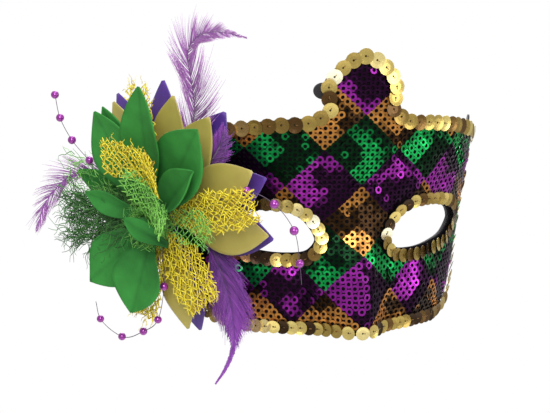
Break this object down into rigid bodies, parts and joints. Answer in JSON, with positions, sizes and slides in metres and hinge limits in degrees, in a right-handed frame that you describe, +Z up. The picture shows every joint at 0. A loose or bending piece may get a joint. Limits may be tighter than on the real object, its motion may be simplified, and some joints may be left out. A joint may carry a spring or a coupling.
{
  "type": "sequin masquerade mask",
  "caption": "Half-face carnival mask with a sequin cloth front, gold sequin trim, a crest, and a cloth flower with feathers and bead sprays at one temple.",
  "frame": {"origin": "inside of the shell at the bridge of the nose, where the mask sits on a face", "axes": "+Z up along the face, -Y out of the face, +X to the wearer's left"},
  "size_m": [0.2214, 0.1585, 0.1842],
  "materials": {
    "backing_felt": "black felt",
    "sequin_cloth": "harlequin sequins of purple, green and copper on black net",
    "gold_sequins": "metallised gold cup sequins",
    "post": "plain",
    "purple_satin": "satin",
    "gold_satin": "satin",
    "yellow_net": "coarse frayed net",
    "green_cloth": "brushed cloth",
    "green_net": "coarse frayed net",
    "feather": "dyed feather",
    "beads": "pearl coat"
  },
  "bodies": {
    "root": {"mask_shell": "backing_felt", "sequin_cloth": "sequin_cloth", "top_trim": "gold_sequins", "bottom_trim": "gold_sequins", "eye_trim_right": "gold_sequins", "eye_trim_left": "gold_sequins", "flower_post": "post", "purple_petal_1": "purple_satin", "purple_petal_2": "purple_satin", "purple_petal_3": "purple_satin", "purple_petal_4": "purple_satin", "purple_petal_5": "purple_satin", "purple_petal_6": "purple_satin", "purple_petal_7": "purple_satin", "purple_petal_8": "purple_satin", "gold_petal_1": "gold_satin", "gold_petal_2": "gold_satin", "gold_petal_3": "gold_satin", "gold_petal_4": "gold_satin", "gold_petal_5": "gold_satin", "gold_petal_6": "gold_satin", "gold_petal_7": "gold_satin", "gold_petal_8": "gold_satin", "yellow_net_petal_1": "yellow_net", "yellow_net_petal_2": "yellow_net", "yellow_net_petal_3": "yellow_net", "yellow_net_petal_4": "yellow_net", "yellow_net_petal_5": "yellow_net", "green_petal_1": "green_cloth", "green_petal_2": "green_cloth", "green_petal_3": "green_cloth", "green_petal_4": "green_cloth", "green_petal_5": "green_cloth", "green_petal_6": "green_cloth", "green_petal_7": "green_cloth", "green_petal_8": "green_cloth", "green_petal_9": "green_cloth", "green_petal_10": "green_cloth", "green_net_petal_1": "green_net", "green_net_petal_2": "green_net", "green_net_petal_3": "green_net", "green_net_petal_4": "green_net", "feather_upper": "feather", "feather_lower": "feather", "feather_side": "feather", "feather_fluff": "feather", "bead_spray_upper": "beads", "bead_spray_eye": "beads", "bead_spray_lower": "beads"}
  },
  "joints": []
}
